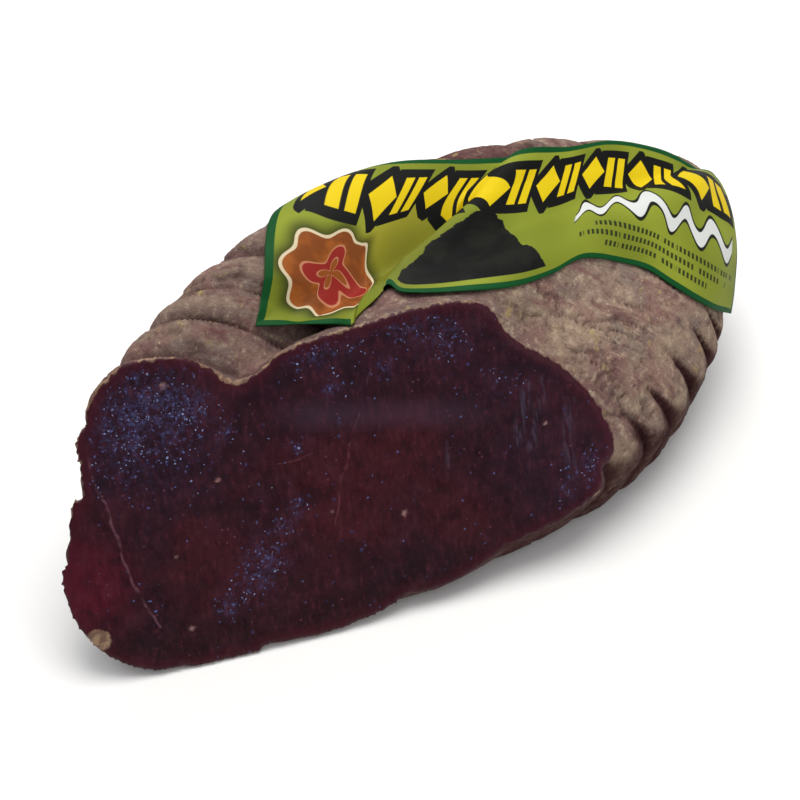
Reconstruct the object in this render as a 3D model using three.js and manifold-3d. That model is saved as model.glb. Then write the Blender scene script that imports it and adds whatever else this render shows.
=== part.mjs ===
// A piece of air-dried venison: one netted muscle lying on its flat side and cut on the bias, with a paper
// label draped over its top. Millimetres, +X along the muscle to its whole end, +Y to the back, +Z up.
import * as THREE from "three";
import { mergeVertices } from "three/addons/utils/BufferGeometryUtils.js";
import Module from "manifold-3d";

// The whole muscle before the cut: where its two tips and its fullest girth lie, and how blunt each end is.
const muscle = {
  left: { x: -124, y: -20, z: 41, bluntness: 2.1 },
  right: { x: 118, y: -31, z: 40, bluntness: 1.6 },
  fullestX: 17,
  axisY: -7.5, // the middle of the section at X 0
  axisZ: 42,
  drift: -0.12, // the middle moves to the front along X
  flattening: 0.26, // wider and lower by this share per 100 mm of X
  twist: -8.6, // degrees per 100 mm of X
};

// Radii of the fullest girth at even steps round the section: back, back lobe, valley, front lobe, front
// flank, front foot, underside.
const girth = [38.3, 38.6, 45.8, 33.7, 27, 35.3, 36.2, 49, 68.2, 62, 53.2, 45, 43.5, 44.2];

// The furrow between the two lobes, in degrees round the section from the back. It bends to the front by
// some degrees near bendX.
const valley = {
  angle: 79, width: 13, depth: 13, startX: -62, fade: 11, bend: 4, bendX: -17, bendLength: 9,
};

// A shallow dip along the top of the back lobe.
const saddle = { x: 42, length: 26, angle: 58, width: 24, depth: 2.6 };

// The string net. Its rings lie askew: they lean to the front along X, less so towards the tips.
const net = { startX: 3.1, spacing: 15.1, skew: 1, depth: 3.2, sharpness: 0.62, wander: 1.4 };
// Lengthwise strands, in degrees round the section; each sways along X.
const strands = [
  { angle: 20, depth: 1.6, sway: 3 },
  { angle: 84, depth: 2.4, sway: 3 },
  { angle: 209, depth: 4.4, sway: -1.5 },
  { angle: 336, depth: 2, sway: 3 },
];
const strandWidth = 5; // degrees
// The rings are faint on the smooth flank, between these degrees round the section. The flank's lower
// border climbs by lean degrees for each millimetre of X.
const flank = { from: 94, to: 193, lean: -0.08, fade: 3, share: 0.8 };
// The hem below the front strand, which spreads on the ground.
const hem = { angle: 219, width: 7.5, height: 7.5, from: 50, to: 104, fade: 9 };
const bundles = 0.9; // height of the soft lumps in the muscle

// The knife's plane: a point of it on the ground, its heading from +X and how far it leans back, in degrees.
const cut = { x: -43, y: -47.3, heading: -33.2, lean: 30 };

// The paper label: points near its lower and upper edges, which are then pressed onto the muscle.
const label = {
  lower: [
    [-34, 5, 68], [-24, -5, 66], [-18, -13, 68], [-10, -12.5, 67], [-2, -16, 68], [2, -24.3, 69.7],
    [11.9, -32.1, 68.7], [20.4, -35.8, 66.7], [31.3, -38, 64.3], [43.8, -39.2, 62.1], [55, -44.7, 56.2],
    [60.5, -49, 52.5], [64.1, -54.8, 47.9], [69.1, -59.9, 42], [75, -61.8, 35.6], [86, -63, 27],
  ],
  upper: [
    [17, 25.5, 73.5], [24.5, 20, 75], [36, 10.5, 74.5], [47, 3, 72], [58, -4, 69],
    [73.5, -10.5, 65.5], [89, -14.5, 60.5], [102, -21, 54.5], [111, -28.5, 48], [117, -38, 39],
  ],
  columns: 54,
  foldColumn: 20,
  leftBow: 4.5, // how far the left end curves outward
  rows: 16,
  thickness: 0.4,
  lift: 0.5,
  // The share of the valley that the paper bridges, at its left part and at its right part.
  spanned: { left: 0.35, right: 0.95, middleX: 46, fade: 7 },
};
// The fold where the paper stands off the crest, from the label's lower edge to its upper edge.
const fold = { lower: 0.265, upper: 0.43, height: 3.2, leftWidth: 0.02, rightWidth: 0.08 };

const aroundCount = 72;
const ringPhases = [0, 0.08, 0.3, 0.7, 0.92];
const tipRows = [0.5, 2, 4.5];

const radians = THREE.MathUtils.degToRad;
const degrees = THREE.MathUtils.radToDeg;
const lerp = THREE.MathUtils.lerp;

function smoothStep(value, middle, width) {
  return 1 / (1 + Math.exp(-(value - middle) / width));
}

// The closed curve through the girth's radii.
function girthRadius(angle) {
  const n = girth.length;
  const turn = ((angle / (2 * Math.PI)) * n % n + n) % n;
  const i = Math.floor(turn);
  const f = turn - i;
  const [a, b, c, d] = [-1, 0, 1, 2].map((step) => girth[(i + step + n) % n]);
  return 0.5 * (2 * b + (c - a) * f + (2 * a - 5 * b + 4 * c - d) * f * f + (3 * b - a - 3 * c + d) * f ** 3);
}

// 1 at the fullest girth, falling to 0 at the tips.
function taper(x) {
  const tip = x < muscle.fullestX ? muscle.left : muscle.right;
  const u = Math.min((x - muscle.fullestX) / (tip.x - muscle.fullestX), 0.9995);
  return (1 - u ** tip.bluntness) ** (1 / tip.bluntness);
}

function middleOf(x) {
  const t = taper(x);
  const share = smoothStep(x, -10, 25);
  const tipY = lerp(muscle.left.y, muscle.right.y, share);
  const tipZ = lerp(muscle.left.z, muscle.right.z, share);
  return { t, y: lerp(tipY, muscle.axisY + muscle.drift * x, t), z: lerp(tipZ, muscle.axisZ, t) };
}

// Radius of the smooth muscle round its middle; spanned is the part of the valley that is filled.
function smoothRadius(x, angle, t, spanned = 0) {
  const stretch = 1 + (muscle.flattening * x) / 100;
  const squash = 1 / Math.hypot(Math.cos(angle) / stretch, Math.sin(angle) * stretch);
  const around = ((degrees(angle) % 360) + 360) % 360;
  const bent = valley.bend * Math.exp(-(((x - valley.bendX) / valley.bendLength) ** 2));
  const away = (around - valley.angle - bent) / valley.width;
  const furrow = valley.depth * Math.exp(-(away ** 2)) * smoothStep(x, valley.startX, valley.fade);
  const beside = (around - saddle.angle) / saddle.width;
  const dip = saddle.depth * Math.exp(-(beside ** 2) - ((x - saddle.x) / saddle.length) ** 2);
  return (girthRadius(angle + radians(muscle.twist) * (x / 100)) * squash - dip - furrow * (1 - spanned)) * t;
}

// How deep the net pressed in at this place: a ring at every whole turn, and the strands.
function netDepth(turn, angle, x) {
  const swell = 0.85 + 0.2 * Math.sin(turn * 2.4 + angle * 2);
  const there = degrees(angle);
  const hug = 1 - Math.abs(Math.sin(Math.PI * turn)) ** net.sharpness;
  const border = flank.to + flank.lean * Math.max(x, 0);
  const smooth = smoothStep(there, flank.from, flank.fade) - smoothStep(there, border, flank.fade);
  let depth = net.depth * swell * hug * (1 - flank.share * smooth);
  for (const strand of strands) {
    const away = there - strand.angle - strand.sway * Math.sin(x / 17);
    depth += strand.depth * Math.exp(-((away / strandWidth) ** 2)) * (1 - 0.5 * hug);
  }
  return depth;
}

function hemHeight(x, angle) {
  const share = smoothStep(x, hem.from, hem.fade) - smoothStep(x, hem.to, hem.fade);
  return hem.height * share * Math.exp(-(((degrees(angle) - hem.angle) / hem.width) ** 2));
}

function lump(x, angle) {
  return bundles * (Math.sin(x / 15 + 3 * angle) + Math.sin(x / 23 - 2 * angle + 1)) * 0.5;
}

// Where a ring that passes the middle at x lies at this angle.
function skewedX(x, angle) {
  const tip = x < 0 ? muscle.left.x : muscle.right.x;
  const skew = net.skew * Math.max(0, 1 - Math.abs(x / tip) ** 3) * Math.cos(angle);
  let there = x;
  for (let i = 0; i < 40; i++) {
    const next = x - skew * smoothRadius(there, angle, middleOf(there).t);
    there += 0.5 * (THREE.MathUtils.clamp(next, muscle.left.x, muscle.right.x) - there);
  }
  return there;
}

function rindPoint(row, k) {
  const angle = (2 * Math.PI * k) / aroundCount;
  const x = skewedX(row.x, angle);
  const { t, y, z } = middleOf(x);
  const relief = netDepth(row.turn, angle, x) * Math.min(1, t * 1.6);
  const swelling = (lump(x, angle) + hemHeight(x, angle)) * t;
  const r = Math.max(smoothRadius(x, angle, t) - relief + swelling, 0.3 + 2 * t);
  return new THREE.Vector3(x, y + r * Math.cos(angle), Math.max(z + r * Math.sin(angle), 0));
}

// The rows of points from tip to tip: closer at each ring, and the rings unevenly spaced.
function netRows() {
  const rows = [];
  const tips = [muscle.left.x, muscle.right.x];
  const margin = Math.max(...tipRows) + 2;
  const first = Math.floor(tips[0] / net.spacing) - 1;
  const last = Math.ceil(tips[1] / net.spacing);
  for (let ring = first; ring <= last; ring++)
    for (const phase of ringPhases) {
      const turn = ring + phase;
      const x = net.startX + turn * net.spacing + net.wander * Math.sin(1.9 * turn);
      if (x > tips[0] + margin && x < tips[1] - margin) rows.push({ x, turn });
    }
  const nearTip = (x) => ({ x, turn: 0.5 });
  const left = tipRows.map((away) => nearTip(tips[0] + away));
  const right = tipRows.map((away) => nearTip(tips[1] - away));
  return [...left, ...rows, ...right.reverse()];
}

function muscleGeometry() {
  const rows = netRows();
  const points = rows.flatMap((row) => Array.from({ length: aroundCount }, (_, k) => rindPoint(row, k)));
  const [leftPole, rightPole] = [muscle.left, muscle.right].map((tip) => {
    const { y, z } = middleOf(tip.x);
    return points.push(new THREE.Vector3(tip.x, y, z)) - 1;
  });
  const at = (i, k) => i * aroundCount + (k % aroundCount);
  const faces = [];
  for (let k = 0; k < aroundCount; k++) {
    for (let i = 0; i + 1 < rows.length; i++) {
      faces.push(at(i, k), at(i + 1, k + 1), at(i + 1, k));
      faces.push(at(i, k), at(i, k + 1), at(i + 1, k + 1));
    }
    faces.push(leftPole, at(0, k + 1), at(0, k));
    faces.push(rightPole, at(rows.length - 1, k), at(rows.length - 1, k + 1));
  }
  const geometry = new THREE.BufferGeometry().setFromPoints(points);
  geometry.setIndex(faces);
  return geometry;
}

// The smooth muscle's surface as the paper feels it: below 0 inside, above 0 outside.
function paperField(p) {
  const x = THREE.MathUtils.clamp(p.x, muscle.left.x + 0.1, muscle.right.x - 0.1);
  const { t, y, z } = middleOf(x);
  const angle = Math.atan2(p.z - z, p.y - y);
  const { left, right, middleX, fade } = label.spanned;
  const spanned = lerp(left, right, smoothStep(x, middleX, fade));
  return Math.hypot(p.y - y, p.z - z, p.x - x) - smoothRadius(x, angle, t, spanned) - lump(x, angle) * t;
}

function paperNormal(p) {
  const h = 0.4;
  const slope = (axis) => {
    const a = p.clone();
    const b = p.clone();
    a[axis] += h;
    b[axis] -= h;
    return (paperField(a) - paperField(b)) / (2 * h);
  };
  return new THREE.Vector3(slope("x"), slope("y"), slope("z"));
}

function settle(p) {
  const q = p.clone();
  for (let i = 0; i < 4; i++) {
    const slope = paperNormal(q);
    q.addScaledVector(slope, -paperField(q) / slope.lengthSq());
  }
  return q;
}

// Where the fold crosses the label's length, as a share of it.
function foldAt(v) {
  return lerp(fold.lower, fold.upper, v);
}

// Rows of points across the paper, from its lower edge to its upper edge; one row follows the fold.
function labelGrid() {
  const [lower, upper] = [label.lower, label.upper].map((guide) => {
    return new THREE.CatmullRomCurve3(guide.map((p) => new THREE.Vector3(...p)));
  });
  const { columns, rows, foldColumn } = label;
  const grid = [];
  for (let i = 0; i <= columns; i++) {
    grid.push([]);
    for (let j = 0; j <= rows; j++) {
      const v = j / rows;
      const before = (foldAt(v) * i) / foldColumn;
      const after = lerp(foldAt(v), 1, (i - foldColumn) / (columns - foldColumn));
      const u = i < foldColumn ? before : after;
      const between = settle(lower.getPointAt(u)).lerp(settle(upper.getPointAt(u)), v);
      const bow = label.leftBow * 4 * v * (1 - v) * (1 - u) ** 4;
      const spot = settle(between.addScaledVector(lower.getTangentAt(0), -bow));
      grid[i].push({ spot, normal: paperNormal(spot).normalize(), off: standOff(u, v) });
    }
  }
  return grid;
}

// How far the paper stands off the muscle, at shares of the label's length and width.
function standOff(u, v) {
  const away = u - foldAt(v);
  const width = away < 0 ? fold.leftWidth : fold.rightWidth;
  return label.lift + fold.height * v ** 1.2 * Math.exp(-((away / width) ** 2));
}

function labelGeometry() {
  const { columns, rows } = label;
  const grid = labelGrid();
  const points = [];
  for (const thickness of [label.thickness, 0])
    for (const { spot, normal, off } of grid.flat()) {
      points.push(spot.clone().addScaledVector(normal, off + thickness));
    }
  const at = (side, i, j) => (side * (columns + 1) + i) * (rows + 1) + j;
  const faces = [];
  const quad = (a, b, c, d) => faces.push(a, b, c, a, c, d);
  for (let i = 0; i < columns; i++)
    for (let j = 0; j < rows; j++) {
      quad(at(0, i, j), at(0, i + 1, j), at(0, i + 1, j + 1), at(0, i, j + 1));
      quad(at(1, i, j), at(1, i, j + 1), at(1, i + 1, j + 1), at(1, i + 1, j));
    }
  for (let i = 0; i < columns; i++) {
    quad(at(0, i, 0), at(1, i, 0), at(1, i + 1, 0), at(0, i + 1, 0));
    quad(at(0, i + 1, rows), at(1, i + 1, rows), at(1, i, rows), at(0, i, rows));
  }
  for (let j = 0; j < rows; j++) {
    quad(at(0, 0, j + 1), at(1, 0, j + 1), at(1, 0, j), at(0, 0, j));
    quad(at(0, columns, j), at(1, columns, j), at(1, columns, j + 1), at(0, columns, j + 1));
  }
  const geometry = new THREE.BufferGeometry().setFromPoints(points);
  geometry.setIndex(faces);
  geometry.computeVertexNormals();
  return geometry;
}

const wasm = await Module();
wasm.setup();

function solid(geometry) {
  const bare = geometry.clone();
  bare.deleteAttribute("normal");
  bare.deleteAttribute("uv");
  const merged = mergeVertices(bare, 1e-4);
  return new wasm.Manifold(new wasm.Mesh({
    numProp: 3,
    vertProperties: new Float32Array(merged.attributes.position.array),
    triVerts: new Uint32Array(merged.index.array),
  }));
}

function geometryOf(manifold) {
  const mesh = manifold.getMesh();
  const geometry = new THREE.BufferGeometry();
  geometry.setAttribute("position", new THREE.BufferAttribute(mesh.vertProperties, 3));
  geometry.setIndex(new THREE.BufferAttribute(mesh.triVerts, 1));
  geometry.computeVertexNormals();
  return geometry;
}

// Everything on the near side of the knife's plane.
function knife() {
  const size = 600;
  const block = new THREE.BoxGeometry(size, size, size);
  block.translate(0, -size / 2, 0);
  block.rotateX(-radians(cut.lean));
  block.rotateZ(radians(cut.heading));
  block.translate(cut.x, cut.y, 0);
  return solid(block);
}

const rind = new THREE.MeshStandardMaterial({ color: 0x86705f, roughness: 0.85, metalness: 0 });
const paper = new THREE.MeshStandardMaterial({ color: 0x93a33c, roughness: 0.45, metalness: 0 });

const meat = new THREE.Mesh(geometryOf(solid(muscleGeometry()).subtract(knife())), rind);
meat.name = "meat";
const sticker = new THREE.Mesh(labelGeometry(), paper);
sticker.name = "label";

// The origin is under the middle of the piece, on the ground.
const cecina = new THREE.Group();
cecina.add(meat, sticker);
const box = new THREE.Box3().setFromObject(cecina);
cecina.position.set(-(box.min.x + box.max.x) / 2, -(box.min.y + box.max.y) / 2, -box.min.z);
cecina.updateMatrixWorld(true);

export default cecina;
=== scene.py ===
# A piece of air-dried venison: one netted muscle cut on the bias, with a paper label draped over its top.
import math

import bmesh
import bpy
import numpy as np
from mathutils import Matrix, Vector
from mathutils.bvhtree import BVHTree
from mathutils.kdtree import KDTree


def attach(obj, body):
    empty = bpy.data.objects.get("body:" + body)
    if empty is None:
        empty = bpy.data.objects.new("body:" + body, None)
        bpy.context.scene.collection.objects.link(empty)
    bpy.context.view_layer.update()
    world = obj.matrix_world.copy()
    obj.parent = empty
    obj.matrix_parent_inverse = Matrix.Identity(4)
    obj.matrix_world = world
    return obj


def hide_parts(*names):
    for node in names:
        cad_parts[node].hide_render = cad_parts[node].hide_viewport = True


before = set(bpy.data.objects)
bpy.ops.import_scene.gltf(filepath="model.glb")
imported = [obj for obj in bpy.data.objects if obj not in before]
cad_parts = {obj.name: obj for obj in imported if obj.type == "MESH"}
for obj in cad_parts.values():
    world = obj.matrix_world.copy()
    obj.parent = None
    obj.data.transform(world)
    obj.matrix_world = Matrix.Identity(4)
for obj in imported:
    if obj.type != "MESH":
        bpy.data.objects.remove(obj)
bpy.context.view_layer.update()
mm = 0.001


# nodes, colours and meshes

# 0 to 255 as seen on screen, to the linear colour that Blender mixes
def paint(red, green, blue):
    linear = [c / 255 / 12.92 if c <= 10 else ((c / 255 + 0.055) / 1.055) ** 2.4 for c in (red, green, blue)]
    return (*linear, 1)


# the node tree of the first socket among these values
def treeOf(*values):
    return next(value.id_data for value in values if isinstance(value, bpy.types.NodeSocket))


# links a socket, or sets a constant, by the input's name or number
def setInputs(made, values):
    for key, value in values.items():
        if isinstance(value, bpy.types.NodeSocket):
            made.id_data.links.new(value, made.inputs[key])
        else:
            made.inputs[key].default_value = value


def node(tree, kind, values=None, **settings):
    made = tree.nodes.new(kind)
    for name, value in settings.items():
        setattr(made, name, value)
    setInputs(made, values or {})
    return made


def calc(operation, *values):
    return node(treeOf(*values), "ShaderNodeMath", dict(enumerate(values)), operation=operation).outputs[0]


def plus(first, second):
    return calc("ADD", first, second)


def minus(first, second):
    return calc("SUBTRACT", first, second)


def apart(first, second):
    return calc("ABSOLUTE", minus(first, second))


def times(*values):
    product = values[0]
    for value in values[1:]:
        product = calc("MULTIPLY", product, value)
    return product


def vectorMath(operation, values):
    return node(treeOf(*values.values()), "ShaderNodeVectorMath", values, operation=operation).outputs


def vec(operation, *values):
    return vectorMath(operation, dict(enumerate(values)))[0]


def scaleBy(vector, factor):
    return vectorMath("SCALE", {0: vector, "Scale": factor})[0]


def measure(operation, *values):
    return vectorMath(operation, dict(enumerate(values)))[1]


def fade(value, start, end, low=0.0, high=1.0):
    values = {0: value, 1: start, 2: end, 3: low, 4: high}
    return node(treeOf(value), "ShaderNodeMapRange", values, interpolation_type="SMOOTHSTEP").outputs[0]


# 1 within inner of the spot, 0 beyond outer
def near(place, spot, outer, inner):
    return fade(measure("DISTANCE", place, spot), outer, inner)


def blend(share, under, over):
    return node(treeOf(share), "ShaderNodeMix", {0: share, 6: under, 7: over}, data_type="RGBA").outputs[2]


# lays tones over a colour in turn, each by its share
def tinted(colour, *tints):
    for share, tone in tints:
        colour = blend(share, colour, paint(*tone))
    return colour


# lays tones over a colour round some spots: spot, outer and inner reach, share, tone
def glowing(colour, place, glows):
    for spot, outer, inner, share, tone in glows:
        colour = tinted(colour, (times(near(place, spot, outer, inner), share), tone))
    return colour


# soft noise whose lumps are about size millimetres across, where place is in metres
def cloud(place, size, detail=3.0, roughness=0.55, twist=0.0):
    values = {"Vector": place, "Scale": 1000 / size, "Detail": detail, "Roughness": roughness}
    return node(treeOf(place), "ShaderNodeTexNoise", {**values, "Distortion": twist}).outputs[0]


# two tones in soft patches
def patches(noise, start, end, first, second):
    return blend(fade(noise, start, end), paint(*first), paint(*second))


# the vector pushed about by noise that is read at place
def wavered(vector, place, scale, detail, reach):
    values = {"Vector": place, "Scale": scale, "Detail": detail}
    push = node(treeOf(place), "ShaderNodeTexNoise", values).outputs["Color"]
    return vec("ADD", vector, scaleBy(vec("SUBTRACT", push, (0.5, 0.5, 0.5)), reach))


def cells(place, size, **settings):
    values = {"Vector": place, "Scale": 1000 / size}
    return node(treeOf(place), "ShaderNodeTexVoronoi", values, **settings).outputs["Distance"]


# a value stored on the mesh, for a material or for Geometry Nodes
def attribute(tree, name, kind="FLOAT"):
    if tree.type == "GEOMETRY":
        return node(tree, "GeometryNodeInputNamedAttribute", {"Name": name}, data_type=kind).outputs[0]
    made = node(tree, "ShaderNodeAttribute", attribute_name=name)
    return made.outputs["Fac" if kind == "FLOAT" else "Vector"]


def bump(strength, distance, height):
    values = {"Strength": strength, "Distance": distance, "Height": height}
    return node(treeOf(height), "ShaderNodeBump", values).outputs[0]


def newMaterial(name):
    material = bpy.data.materials.new(name)
    material.use_nodes = True
    tree = material.node_tree
    return material, tree, tree.nodes["Principled BSDF"]


def addSocket(tree, name, way, kind):
    tree.interface.new_socket(name, in_out=way, socket_type="NodeSocket" + kind)


# a Geometry Nodes tree with a geometry in and out, and these named inputs
def newTree(name, inputs):
    tree = bpy.data.node_groups.new(name, "GeometryNodeTree")
    addSocket(tree, "Geometry", "INPUT", "Geometry")
    addSocket(tree, "Geometry", "OUTPUT", "Geometry")
    for title, value in inputs.items():
        addSocket(tree, title, "INPUT", "Material" if isinstance(value, bpy.types.Material) else "Float")
    return tree, node(tree, "NodeGroupInput"), node(tree, "NodeGroupOutput")


def finishTree(geometry, material, groupOut):
    tree = geometry.id_data
    realized = node(tree, "GeometryNodeRealizeInstances", {0: geometry}).outputs[0]
    painted = node(tree, "GeometryNodeSetMaterial", {"Geometry": realized, "Material": material}).outputs[0]
    tree.links.new(painted, groupOut.inputs[0])


# runs the tree on the piece with these inputs and leaves a plain mesh
def runTree(piece, tree, inputs):
    modifier = piece.modifiers.new(tree.name, "NODES")
    modifier.node_group = tree
    for item in tree.interface.items_tree:
        if item.in_out == "INPUT" and item.name in inputs:
            modifier[item.identifier] = inputs[item.name]
    applyAll(piece)


def applyAll(piece):
    made = bpy.data.meshes.new_from_object(piece.evaluated_get(bpy.context.evaluated_depsgraph_get()))
    piece.modifiers.clear()
    piece.data = made
    made.name = piece.name
    return piece


def newPiece(name, data):
    piece = bpy.data.objects.new(name, data)
    bpy.context.scene.collection.objects.link(piece)
    return piece


def pointsOf(mesh, kind="co"):
    values = np.empty(len(mesh.vertices) * 3)
    mesh.vertices.foreach_get(kind, values)
    return values.reshape(-1, 3)


def store(mesh, name, values):
    values = np.asarray(values, dtype=np.float32)
    kind, slot = ("FLOAT", "value") if values.ndim == 1 else ("FLOAT_VECTOR", "vector")
    layer = mesh.attributes.get(name) or mesh.attributes.new(name, kind, "POINT")
    layer.data.foreach_set(slot, values.ravel())


# camera, light and floor

studio = {
    "cameraAt": (-0.31806, -0.25481, 0.43350),
    "looksTo": (0.54168, 0.45452, -0.70711),
    "lens": 96.8,
    "floorTone": (246, 245, 243),
    "floorHalf": 2,
    "airTone": (0.95, 0.97, 1, 1),
    "airLow": 0.2,  # brightness at the horizon and straight up
    "airHigh": 0.75,
    # each lamp's place, what it aims at, size, power and tone
    "lamps": {
        "keyLight": ((0.1, 0.05, 0.8), (0, 0, 0.02), 0.6, 4.6, (1, 0.98, 0.95)),
        "rimLight": ((0.3, 0.5, 0.5), (0, 0, 0.03), 0.5, 1.2, (0.95, 0.97, 1)),
        "fillLight": ((0.1, -0.7, 0.45), (0, 0, 0.03), 0.5, 0.5, (1, 0.98, 0.96)),
    },
}


def aim(thing, place, toward):
    back = (Vector(place) - Vector(toward)).normalized()
    right = Vector((0, 0, 1)).cross(back).normalized()
    turn = Matrix((right, back.cross(right), back)).transposed()
    thing.matrix_world = Matrix.Translation(place) @ turn.to_4x4()


def makeCamera():
    camera = bpy.data.cameras.new("photoCamera")
    camera.lens = studio["lens"]
    camera.sensor_width = 36
    camera.clip_start = 0.01
    thing = newPiece("photoCamera", camera)
    place = Vector(studio["cameraAt"])
    aim(thing, place, place + Vector(studio["looksTo"]))
    bpy.context.scene.camera = thing


def makeAir():
    world = bpy.data.worlds.new("studioAir")
    bpy.context.scene.world = world
    world.use_nodes = True
    tree = world.node_tree
    toward = node(tree, "ShaderNodeTexCoord").outputs["Generated"]
    height = node(tree, "ShaderNodeSeparateXYZ", {0: toward}).outputs[2]
    brightness = fade(height, 0.1, 0.95, studio["airLow"], studio["airHigh"])
    setInputs(tree.nodes["Background"], {"Color": studio["airTone"], "Strength": brightness})


def makeLamps():
    for name, (place, toward, size, power, tone) in studio["lamps"].items():
        lamp = bpy.data.lights.new(name, "AREA")
        lamp.shape = "DISK"
        lamp.size = size
        lamp.energy = power
        lamp.color = tone
        aim(newPiece(name, lamp), place, toward)


def makeFloor():
    mesh = bpy.data.meshes.new("floor")
    half = studio["floorHalf"]
    corners = [(-half, -half, 0), (half, -half, 0), (half, half, 0), (-half, half, 0)]
    mesh.from_pydata(corners, [], [(0, 1, 2, 3)])
    floor = newPiece("floor", mesh)
    material, tree, shader = newMaterial("floorPaper")
    setInputs(shader, {"Base Color": paint(*studio["floorTone"]), "Roughness": 0.9})
    mesh.materials.append(material)


bpy.context.scene.view_settings.view_transform = "Standard"
makeCamera()
makeAir()
makeLamps()
makeFloor()
print("studio ready")


# the muscle's form: millimetres from the drawing's zero, as in the part's source

muscle = {
    "zeroAt": (-7.0638, 20.2237, 0),  # the drawing's zero in the part's frame
    "leftTip": (-124, -20, 41),
    "rightTip": (118, -31, 40),
    "leftBluntness": 2.1,
    "rightBluntness": 1.6,
    "fullestX": 17,
    "axisY": -7.5,
    "axisZ": 42,
    "drift": -0.12,
    "flattening": 0.26,
    "twist": -8.6,
    "girth": (38.3, 38.6, 45.8, 33.7, 27, 35.3, 36.2, 49, 68.2, 62, 53.2, 45, 43.5, 44.2),
    "valleyAngle": 79,
    "valleyWidth": 13,
    "valleyDepth": 13,
    "valleyStart": -62,
    "valleyFade": 11,
    "valleyBend": (4, -17, 9),  # degrees to the front, at this x, over this length
    "saddle": (42, 26, 58, 24, 2.6),  # x, length, angle, width, depth
    "bundles": 0.9,
    "ringStart": 3.1,
    "ringSpacing": 15.1,
    "ringWander": 1.4,
    "wanderRate": 1.9,
    "ringSkew": 1,
    "frontStrand": 209,  # degrees round the section; the finger folds end just above it
    "strandSway": -1.5,
    "swayLength": 17,
    "flankTop": 94,
    "flankBottom": 193,
    "flankLean": -0.08,
    "hemAngle": 219,  # the hem below the front strand spreads on the ground
    "hemFrom": 50,
    "hemFade": 9,
}


def smoothStep(value, middle, width):
    return 1 / (1 + np.exp(-(value - middle) / width))


# the taper, and the middle of the section, at x
def middleAt(x):
    atLeft = x < muscle["fullestX"]
    tipX = np.where(atLeft, muscle["leftTip"][0], muscle["rightTip"][0])
    power = np.where(atLeft, muscle["leftBluntness"], muscle["rightBluntness"])
    away = np.clip((x - muscle["fullestX"]) / (tipX - muscle["fullestX"]), 0, 0.9995)
    t = (1 - away ** power) ** (1 / power)
    share = smoothStep(x, -10, 25)
    tipY = muscle["leftTip"][1] * (1 - share) + muscle["rightTip"][1] * share
    tipZ = muscle["leftTip"][2] * (1 - share) + muscle["rightTip"][2] * share
    y = tipY * (1 - t) + (muscle["axisY"] + muscle["drift"] * x) * t
    return t, y, tipZ * (1 - t) + muscle["axisZ"] * t


def girthAt(angle):
    radii = np.array(muscle["girth"])
    turn = np.mod(angle / (2 * np.pi) * len(radii), len(radii))
    i = np.floor(turn).astype(int)
    f = turn - i
    a, b, c, d = (radii[(i + step) % len(radii)] for step in (-1, 0, 1, 2))
    square, cube = 2 * a - 5 * b + 4 * c - d, 3 * b - a - 3 * c + d
    return 0.5 * (2 * b + (c - a) * f + square * f ** 2 + cube * f ** 3)


def smoothRadius(x, angle, t, spanned):
    stretch = 1 + muscle["flattening"] * x / 100
    squash = 1 / np.hypot(np.cos(angle) / stretch, np.sin(angle) * stretch)
    around = np.mod(np.degrees(angle), 360)
    bend, bendX, bendLength = muscle["valleyBend"]
    valleyAngle = muscle["valleyAngle"] + bend * np.exp(-(((x - bendX) / bendLength) ** 2))
    furrow = muscle["valleyDepth"] * np.exp(-(((around - valleyAngle) / muscle["valleyWidth"]) ** 2))
    furrow = furrow * smoothStep(x, muscle["valleyStart"], muscle["valleyFade"])
    dipX, dipLength, dipAngle, dipWidth, dipDepth = muscle["saddle"]
    dip = dipDepth * np.exp(-(((around - dipAngle) / dipWidth) ** 2) - ((x - dipX) / dipLength) ** 2)
    radius = girthAt(angle + np.radians(muscle["twist"]) * x / 100) * squash
    return (radius - dip - furrow * (1 - spanned)) * t


def lumpAt(x, angle):
    return muscle["bundles"] * 0.5 * (np.sin(x / 15 + 3 * angle) + np.sin(x / 23 - 2 * angle + 1))


def angleAt(points):
    t, y, z = middleAt(points[:, 0])
    return np.arctan2(points[:, 2] - z, points[:, 1] - y)


# where the net's ring through this place crosses the muscle's middle
def ringMiddle(x, angle):
    x = np.clip(x, muscle["leftTip"][0], muscle["rightTip"][0])
    reach = smoothRadius(x, angle, middleAt(x)[0], 0) * np.cos(angle) * muscle["ringSkew"]
    middle = x + 0.0
    for _ in range(40):
        tip = np.where(middle < 0, muscle["leftTip"][0], muscle["rightTip"][0])
        skew = np.maximum(0, 1 - np.abs(middle / tip) ** 3)
        middle = middle + 0.5 * (x + skew * reach - middle)
    return middle


# counts the net's rings along the muscle: a whole number on each
def ringTurnAt(middle):
    start, spacing = muscle["ringStart"], muscle["ringSpacing"]
    wander, rate = muscle["ringWander"], muscle["wanderRate"]
    turn = (middle - start) / spacing
    for _ in range(30):
        there = start + spacing * turn + wander * np.sin(rate * turn)
        slope = spacing + rate * wander * np.cos(rate * turn)
        turn = turn - 0.8 * (there - middle) / slope
    return turn


def toDrawing(points):
    return points * 1000 - np.array(muscle["zeroAt"])


# the plane of the cut face

cut = {
    "x": -43,  # a point of the plane on the ground, from the drawing's zero
    "y": -47.3,
    "heading": -33.2,
    "lean": 30,
}
cutAt = ((cut["x"] + muscle["zeroAt"][0]) * mm, (cut["y"] + muscle["zeroAt"][1]) * mm, 0)
heading, lean = math.radians(cut["heading"]), math.radians(cut["lean"])
cutNormal = Vector((math.sin(heading) * math.cos(lean), -math.cos(heading) * math.cos(lean), math.sin(lean)))
cutAlong = Vector((math.cos(heading), math.sin(heading), 0))
cutUp = cutNormal.cross(cutAlong)


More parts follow.
